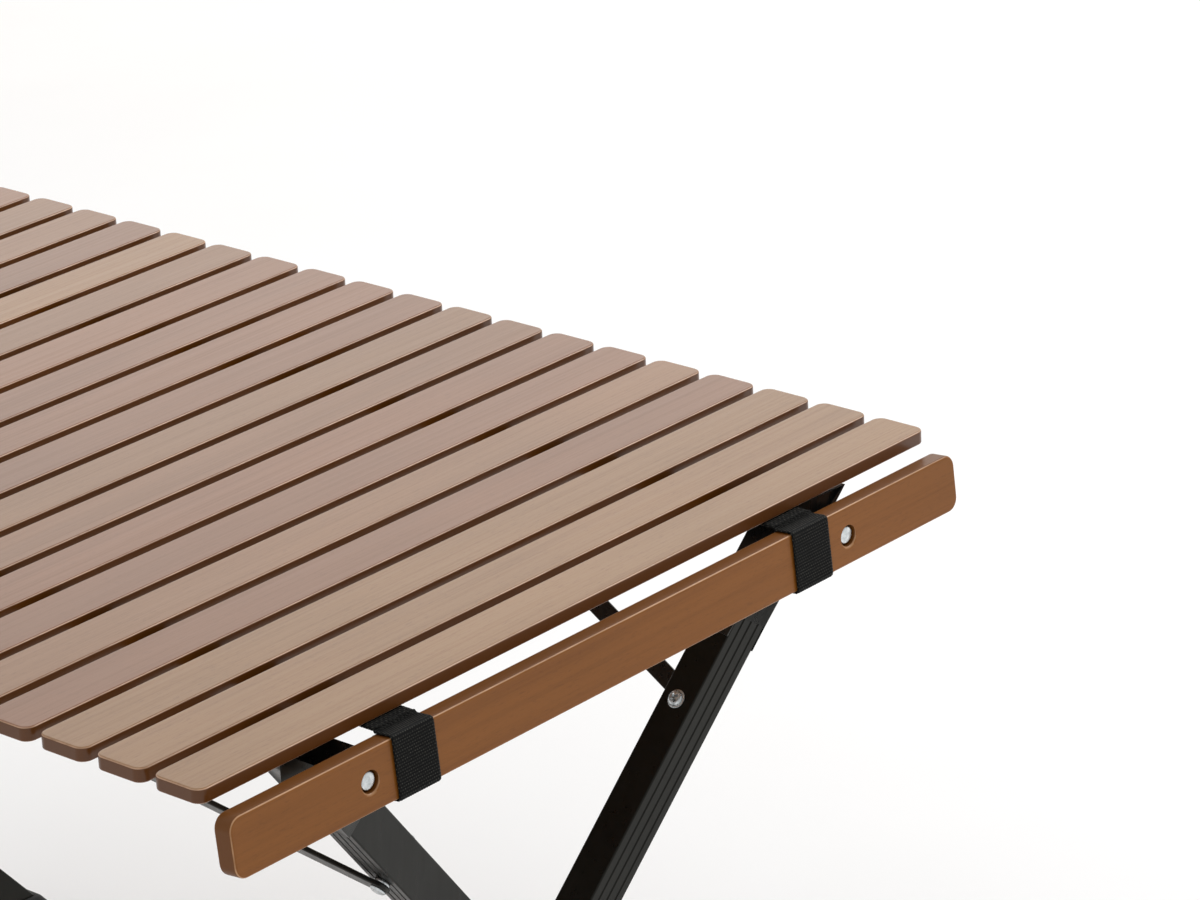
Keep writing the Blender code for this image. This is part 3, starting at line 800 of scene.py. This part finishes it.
# ------------------------------------------------------------- legs
class Leg:
    def __init__(self, side, end):
        self.side, self.end = side, end
        inner = side < 0
        self.link_pin_s = INNER_LINK_PIN_S if inner else OUTER_LINK_PIN_S
        lean = INNER_LEG_LEAN if inner else OUTER_LEG_LEAN
        y0 = INNER_LEG_Y if inner else OUTER_LEG_Y
        self.base = Vector((side * LEG_LINE_X, end * y0, LEG_LINE_Z))
        self.down = Vector((-side * LEG_TAN, -end * lean, -1.0)).normalized()
        self.face = Vector((side * math.cos(SLOPE), 0.0, -math.sin(SLOPE)))
        self.out = self.face.cross(self.down).normalized()
        if self.out.y * end < 0:
            self.out.negate()

    def at(self, s, face=0.0, out=0.0):
        return self.base + self.down * s + self.face * face + self.out * out

    def at_height(self, z, face=0.0, out=0.0):
        p = self.at(0.0, face, out)
        return p + self.down * ((p.z - z) / -self.down.z)

    def name(self, what):
        return f"{end_name(self.end)}_{side_name(self.side)}_{what}"


def ribbed_section(width, depth, grooved):
    """Tube section with round arrises and three round-bottomed grooves down two faces."""
    bead = 0.0011

    def run(half_len, level):
        points = []
        for centre in (-half_len * 0.52, 0.0, half_len * 0.52):
            for k in range(7):
                t = -1.0 + k / 3
                points.append((centre + t * 0.0009, level - 0.00065 * (1 - t * t) ** 0.7))
        return points

    def corner(cx, cy, start):
        return [
            (cx + bead * math.cos(math.radians(start + 90 * k / 4)), cy + bead * math.sin(math.radians(start + 90 * k / 4)))
            for k in range(5)
        ]

    w, d = width / 2, depth / 2
    right_top = corner(w - bead, d - bead, 0)
    left_top = corner(-w + bead, d - bead, 90)
    left_low = corner(-w + bead, -d + bead, 180)
    right_low = corner(w - bead, -d + bead, 270)
    if grooved == "out":
        top = [(-x, y) for x, y in run(w, d)]
        low = [(x, -y) for x, y in run(w, d)]
        return right_top + top + left_top + left_low + low + right_low
    right = [(y, x) for x, y in run(d, w)]
    left = [(-y, -x) for x, y in run(d, w)]
    return right_top + left_top + left + left_low + right_low + right


LEGS = {}
for end in (-1, 1):
    for side in (-1, 1):
        leg = Leg(side, end)
        LEGS[(side, end)] = leg
        outer = ribbed_section(LEG_WIDTH, LEG_DEPTH, "side" if side < 0 else "out")
        count = len(outer)
        wall = LEG_WALL
        inner = [
            (max(-LEG_WIDTH / 2 + wall, min(LEG_WIDTH / 2 - wall, x * 0.9)), max(-LEG_DEPTH / 2 + wall, min(LEG_DEPTH / 2 - wall, y * 0.9)))
            for x, y in outer
        ]
        levels = np.linspace(LEG_TOP_Z, LEG_BOTTOM_Z, 14).tolist()
        rings = [[leg.at_height(z, x, y) for x, y in outer] for z in levels]
        rings += [[leg.at_height(z, x, y) for x, y in inner] for z in reversed(levels)]
        tube = loft(f"look_{leg.name('leg')}", rings, closed_path=True)
        crisp(tube, 32)
        finish(tube, LEG_BLACK, leg.name("leg_body"), [leg.name("leg")])

        # Foot: soft-cornered rubber boot with two shallow bands and a level sole.
        boot_rings = []
        grow = 0.0029
        for z, extra, radius in (
            (0.0000, -0.0012, 0.0030), (0.0004, -0.0004, 0.0036), (0.0016, 0.0, 0.0040), (0.0090, 0.0, 0.0040),
            (0.0096, -0.0006, 0.0038), (0.0108, -0.0006, 0.0038), (0.0114, 0.0, 0.0040), (0.0190, 0.0, 0.0040),
            (0.0196, -0.0006, 0.0038), (0.0208, -0.0006, 0.0038), (0.0214, 0.0, 0.0040), (0.0282, 0.0, 0.0040),
            (0.0294, -0.0004, 0.0036), (0.0300, -0.0012, 0.0030),
        ):
            outline = rounded_outline(LEG_WIDTH + 2 * (grow + extra), LEG_DEPTH + 2 * (grow + extra), radius, 6)
            boot_rings.append([leg.at_height(z, x, y) for x, y in outline])
        lip = rounded_outline(LEG_WIDTH + 2 * GAP, LEG_DEPTH + 2 * GAP, 0.0011, 6)
        boot_rings.append([leg.at_height(0.0300, x, y) for x, y in lip])
        boot_rings.append([leg.at_height(0.0042, x, y) for x, y in lip])
        boot = loft(f"look_{leg.name('foot')}", boot_rings)
        crisp(boot, 50, False)
        finish(boot, RUBBER, leg.name("leg_body"), [leg.name("foot")])


# ------------------------------------------------------------- head brackets
for (side, end), leg in LEGS.items():
    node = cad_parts[leg.name("head_bracket")]
    weld = node.modifiers.new("weld", "WELD")
    weld.merge_threshold = 0.00001
    bevelled(node, 0.0004, 2, 28)
    normals = node.modifiers.new("normals", "WEIGHTED_NORMAL")
    normals.weight = 80
    node.data.shade_smooth()
    node.data.materials.clear()
    node.data.materials.append(STEEL_BLACK)

    # Rivets through the cheeks.
    rivets = []
    for s, across in ((0.0635, 0.0), (0.030, 0.0)):
        for sign in (-1, 1):
            rivets.append(
                turned(
                    "rivet",
                    [(0.0, 0.0042), (0.0003, 0.0046), (0.0008, 0.0045), (0.0014, 0.0038), (0.0018, 0.0026), (0.0020, 0.0008)],
                    leg.at(s, sign * (LEG_WIDTH / 2 + GAP + 0.0013), across), leg.face * sign, 32,
                )
            )
    rivet = crisp(join(f"look_{leg.name('rivets')}", rivets), 50, False)
    finish(rivet, ZINC, leg.name("leg_body"))


# ------------------------------------------------------------- links and hubs
OFFSET = LEG_WIDTH / 2 + LINK_STANDOFF + LINK_THICK / 2
inner_pin = LEGS[(-1, -1)].at(INNER_LINK_PIN_S)
outer_pin = LEGS[(1, -1)].at(OUTER_LINK_PIN_S)
LINK_LENGTH = (abs(inner_pin.y) - INNER_HUB_PINS / 2) / math.cos(LINK_RISE)
OUTER_HUB_PINS = INNER_HUB_PINS + 2 * (abs(outer_pin.y) - abs(inner_pin.y))


def phillips_head(name, at, axis, radius):
    """Pan head with a cross recess. axis points out of the head."""
    axis = Vector(axis).normalized()
    side = axis.orthogonal().normalized()
    other = axis.cross(side)
    head = turned(
        name,
        [(0.0, radius * 0.97), (0.0004, radius), (0.0011, radius * 0.98), (0.0018, radius * 0.88), (0.0023, radius * 0.66),
         (0.0026, radius * 0.36), (0.0027, radius * 0.08)],
        at, axis, 40,
    )
    for a, b in ((side, other), (other, side)):
        cutter = loft(
            "recess",
            [
                [Vector(at) + axis * h + a * (sa * la) + b * (sb * lb) for sa, sb in ((-1, -1), (1, -1), (1, 1), (-1, 1))]
                for h, la, lb in ((0.0004, 0.0012, 0.00040), (0.0034, 0.0036, 0.00105))
            ],
            smooth=False,
        )
        head = boolean(head, cutter)
    return head


for side in (-1, 1):
    hub_span = INNER_HUB_PINS if side < 0 else OUTER_HUB_PINS
    face = LEGS[(side, -1)].face
    climb = Vector((side * math.sin(SLOPE), 0.0, math.cos(SLOPE)))
    hub_pins = {}
    for end in (-1, 1):
        leg = LEGS[(side, end)]
        foot_pin = leg.at(leg.link_pin_s) + face * OFFSET
        along = Vector((0.0, -end * math.cos(LINK_RISE), 0.0)) + climb * math.sin(LINK_RISE)
        across = face.cross(along).normalized()
        top_pin = foot_pin + along * LINK_LENGTH
        hub_pins[end] = top_pin
        bar = soft_bar(
            f"look_{leg.name('link')}", LINK_LENGTH, LINK_WIDTH, LINK_THICK, 0.0007, (foot_pin + top_pin) / 2,
            (along, across, face),
        )
        crisp(bar, 50)
        finish(bar, STEEL_BLACK, leg.name("link_body"), [leg.name("link")])

        w = LEG_WIDTH / 2
        axis_at = leg.at(leg.link_pin_s)
        washer = turned(
            "washer",
            [(-w - 0.0011, 0.0030), (-w - 0.0011, 0.0053), (-w - 0.0009, 0.0056), (-w - 0.0005, 0.0056), (-w - GAP, 0.0053), (-w - GAP, 0.0030)],
            axis_at, leg.face, 40,
        )
        head = phillips_head("head", axis_at - leg.face * (w + 0.0011), -leg.face, 0.0047)
        spacer = turned(
            "spacer",
            [(w + GAP, 0.0048), (w + GAP + 0.0003, 0.0050), (w + LINK_STANDOFF - GAP - 0.0003, 0.0050), (w + LINK_STANDOFF - GAP, 0.0048)],
            axis_at, leg.face, 40,
        )
        top = w + LINK_STANDOFF + LINK_THICK
        rivet = turned(
            "rivet",
            [(top + 0.0001, 0.0044), (top + 0.0004, 0.0048), (top + 0.0009, 0.0047), (top + 0.0015, 0.0040),
             (top + 0.0020, 0.0028), (top + 0.0022, 0.0008)],
            axis_at, leg.face, 40,
        )
        screw = crisp(join(f"look_{leg.name('link_screw')}", [washer, head, spacer, rivet]), 40, False)
        finish(screw, ZINC, leg.name("leg_body"), [leg.name("link_screw")])

    middle = (hub_pins[-1] + hub_pins[1]) / 2
    plate = soft_bar(
        f"look_{side_name(side)}_hub", hub_span, 0.0150, LINK_THICK, 0.0006,
        middle - face * (LINK_THICK + GAP), (Vector((0, 1, 0)), climb, face),
    )
    crisp(plate, 50)
    finish(plate, STEEL_BLACK, f"{side_name(side)}_hub_body", [f"{side_name(side)}_link_hub"])
    stems = []
    for end in (-1, 1):
        for sign, level in ((1, LINK_THICK / 2 + 0.0001), (-1, LINK_THICK * 1.5 + GAP + 0.0001)):
            stems.append(
                turned(
                    "stem",
                    [(level, 0.0044), (level + 0.0003, 0.0048), (level + 0.0009, 0.0046), (level + 0.0014, 0.0036),
                     (level + 0.0017, 0.0024), (level + 0.0018, 0.0008)],
                    hub_pins[end], face * sign, 32,
                )
            )
    pins = crisp(join(f"look_{side_name(side)}_hub_pins", stems), 50, False)
    finish(pins, ZINC, f"{side_name(side)}_hub_body")


# ------------------------------------------------------------- crossing pins
for end in (-1, 1):
    outer_leg, inner_leg = LEGS[(1, end)], LEGS[(-1, end)]
    outer_face = abs(outer_leg.at_height(CROSS_Z).y) + LEG_DEPTH / 2 / abs(outer_leg.out.y) + 0.0028
    inner_face = abs(inner_leg.at_height(CROSS_Z).y) - LEG_DEPTH / 2 / abs(inner_leg.out.y) - 0.0028
    pin = turned(
        f"look_{end_name(end)}_cross_pin",
        [
            (inner_face - 0.0048, 0.0022), (inner_face - 0.0046, 0.0052), (inner_face - 0.0042, 0.0062),
            (inner_face - 0.0002, 0.0066), (inner_face, 0.0062), (inner_face, 0.0040),
            (outer_face, 0.0040), (outer_face, 0.0068), (outer_face + 0.0003, 0.0074), (outer_face + 0.0014, 0.0073),
            (outer_face + 0.0022, 0.0062), (outer_face + 0.0027, 0.0044), (outer_face + 0.0029, 0.0018),
        ],
        (0.0, 0.0, CROSS_Z), (0.0, float(end), 0.0), 44,
    )
    crisp(pin, 40, False)
    body = "cross_pin_near" if end < 0 else "far_right_leg_body"
    finish(pin, ZINC, body, [f"{end_name(end)}_cross_pin"])


# ------------------------------------------------------------- floor and light
floor_mesh = bpy.data.meshes.new("floor")
floor_mesh.from_pydata([(-9, -9, 0), (9, -9, 0), (9, 9, 0), (-9, 9, 0)], [], [(0, 1, 2, 3)])
floor = bpy.data.objects.new("floor", floor_mesh)
floor.location.z = -0.0005
scene.collection.objects.link(floor)
paper = Nodes("floor_paper")
grain = paper.noise(paper.mapping((3.0, 3.0, 3.0)), 1.0, 3.0, 0.5)
paper.set(
    Base_Color=paper.mix(paper.grey(grain, 0.3, 0.7, 0.0, 1.0), (0.93, 0.93, 0.93), (0.95, 0.95, 0.95)),
    Roughness=0.9,
)
floor_mesh.materials.append(paper.mat)

world = bpy.data.worlds.new("studio")
scene.world = world
world.use_nodes = True
world.node_tree.nodes["Background"].inputs["Color"].default_value = (1.0, 1.0, 1.0, 1.0)
world.node_tree.nodes["Background"].inputs["Strength"].default_value = 0.58


def area_light(name, at, target, width, height, power, colour=(1.0, 1.0, 1.0)):
    data = bpy.data.lights.new(name, "AREA")
    data.shape = "RECTANGLE"
    data.size, data.size_y = width, height
    data.energy = power
    data.color = colour
    obj = bpy.data.objects.new(name, data)
    scene.collection.objects.link(obj)
    obj.location = at
    obj.rotation_mode = "QUATERNION"
    obj.rotation_quaternion = (Vector(target) - Vector(at)).to_track_quat("-Z", "Y")
    obj.visible_camera = False
    return obj


area_light("overhead", (-0.8, 0.6, 2.9), (0, 0, 0.4), 2.0, 2.0, 10.0)
area_light("back_wall", (3.0, 2.7, 1.7), (0, 0, 0.5), 3.6, 2.2, 32.0, (1.0, 0.93, 0.86))
area_light("edge_light", (2.5, -1.0, 2.85), (0, 0, 0.5), 1.7, 1.7, 62.0)
area_light("left_fill", (-2.8, -1.2, 1.1), (0, -0.2, 0.4), 2.0, 1.4, 3.0)

scene.view_settings.view_transform = "Standard"
scene.view_settings.look = "None"
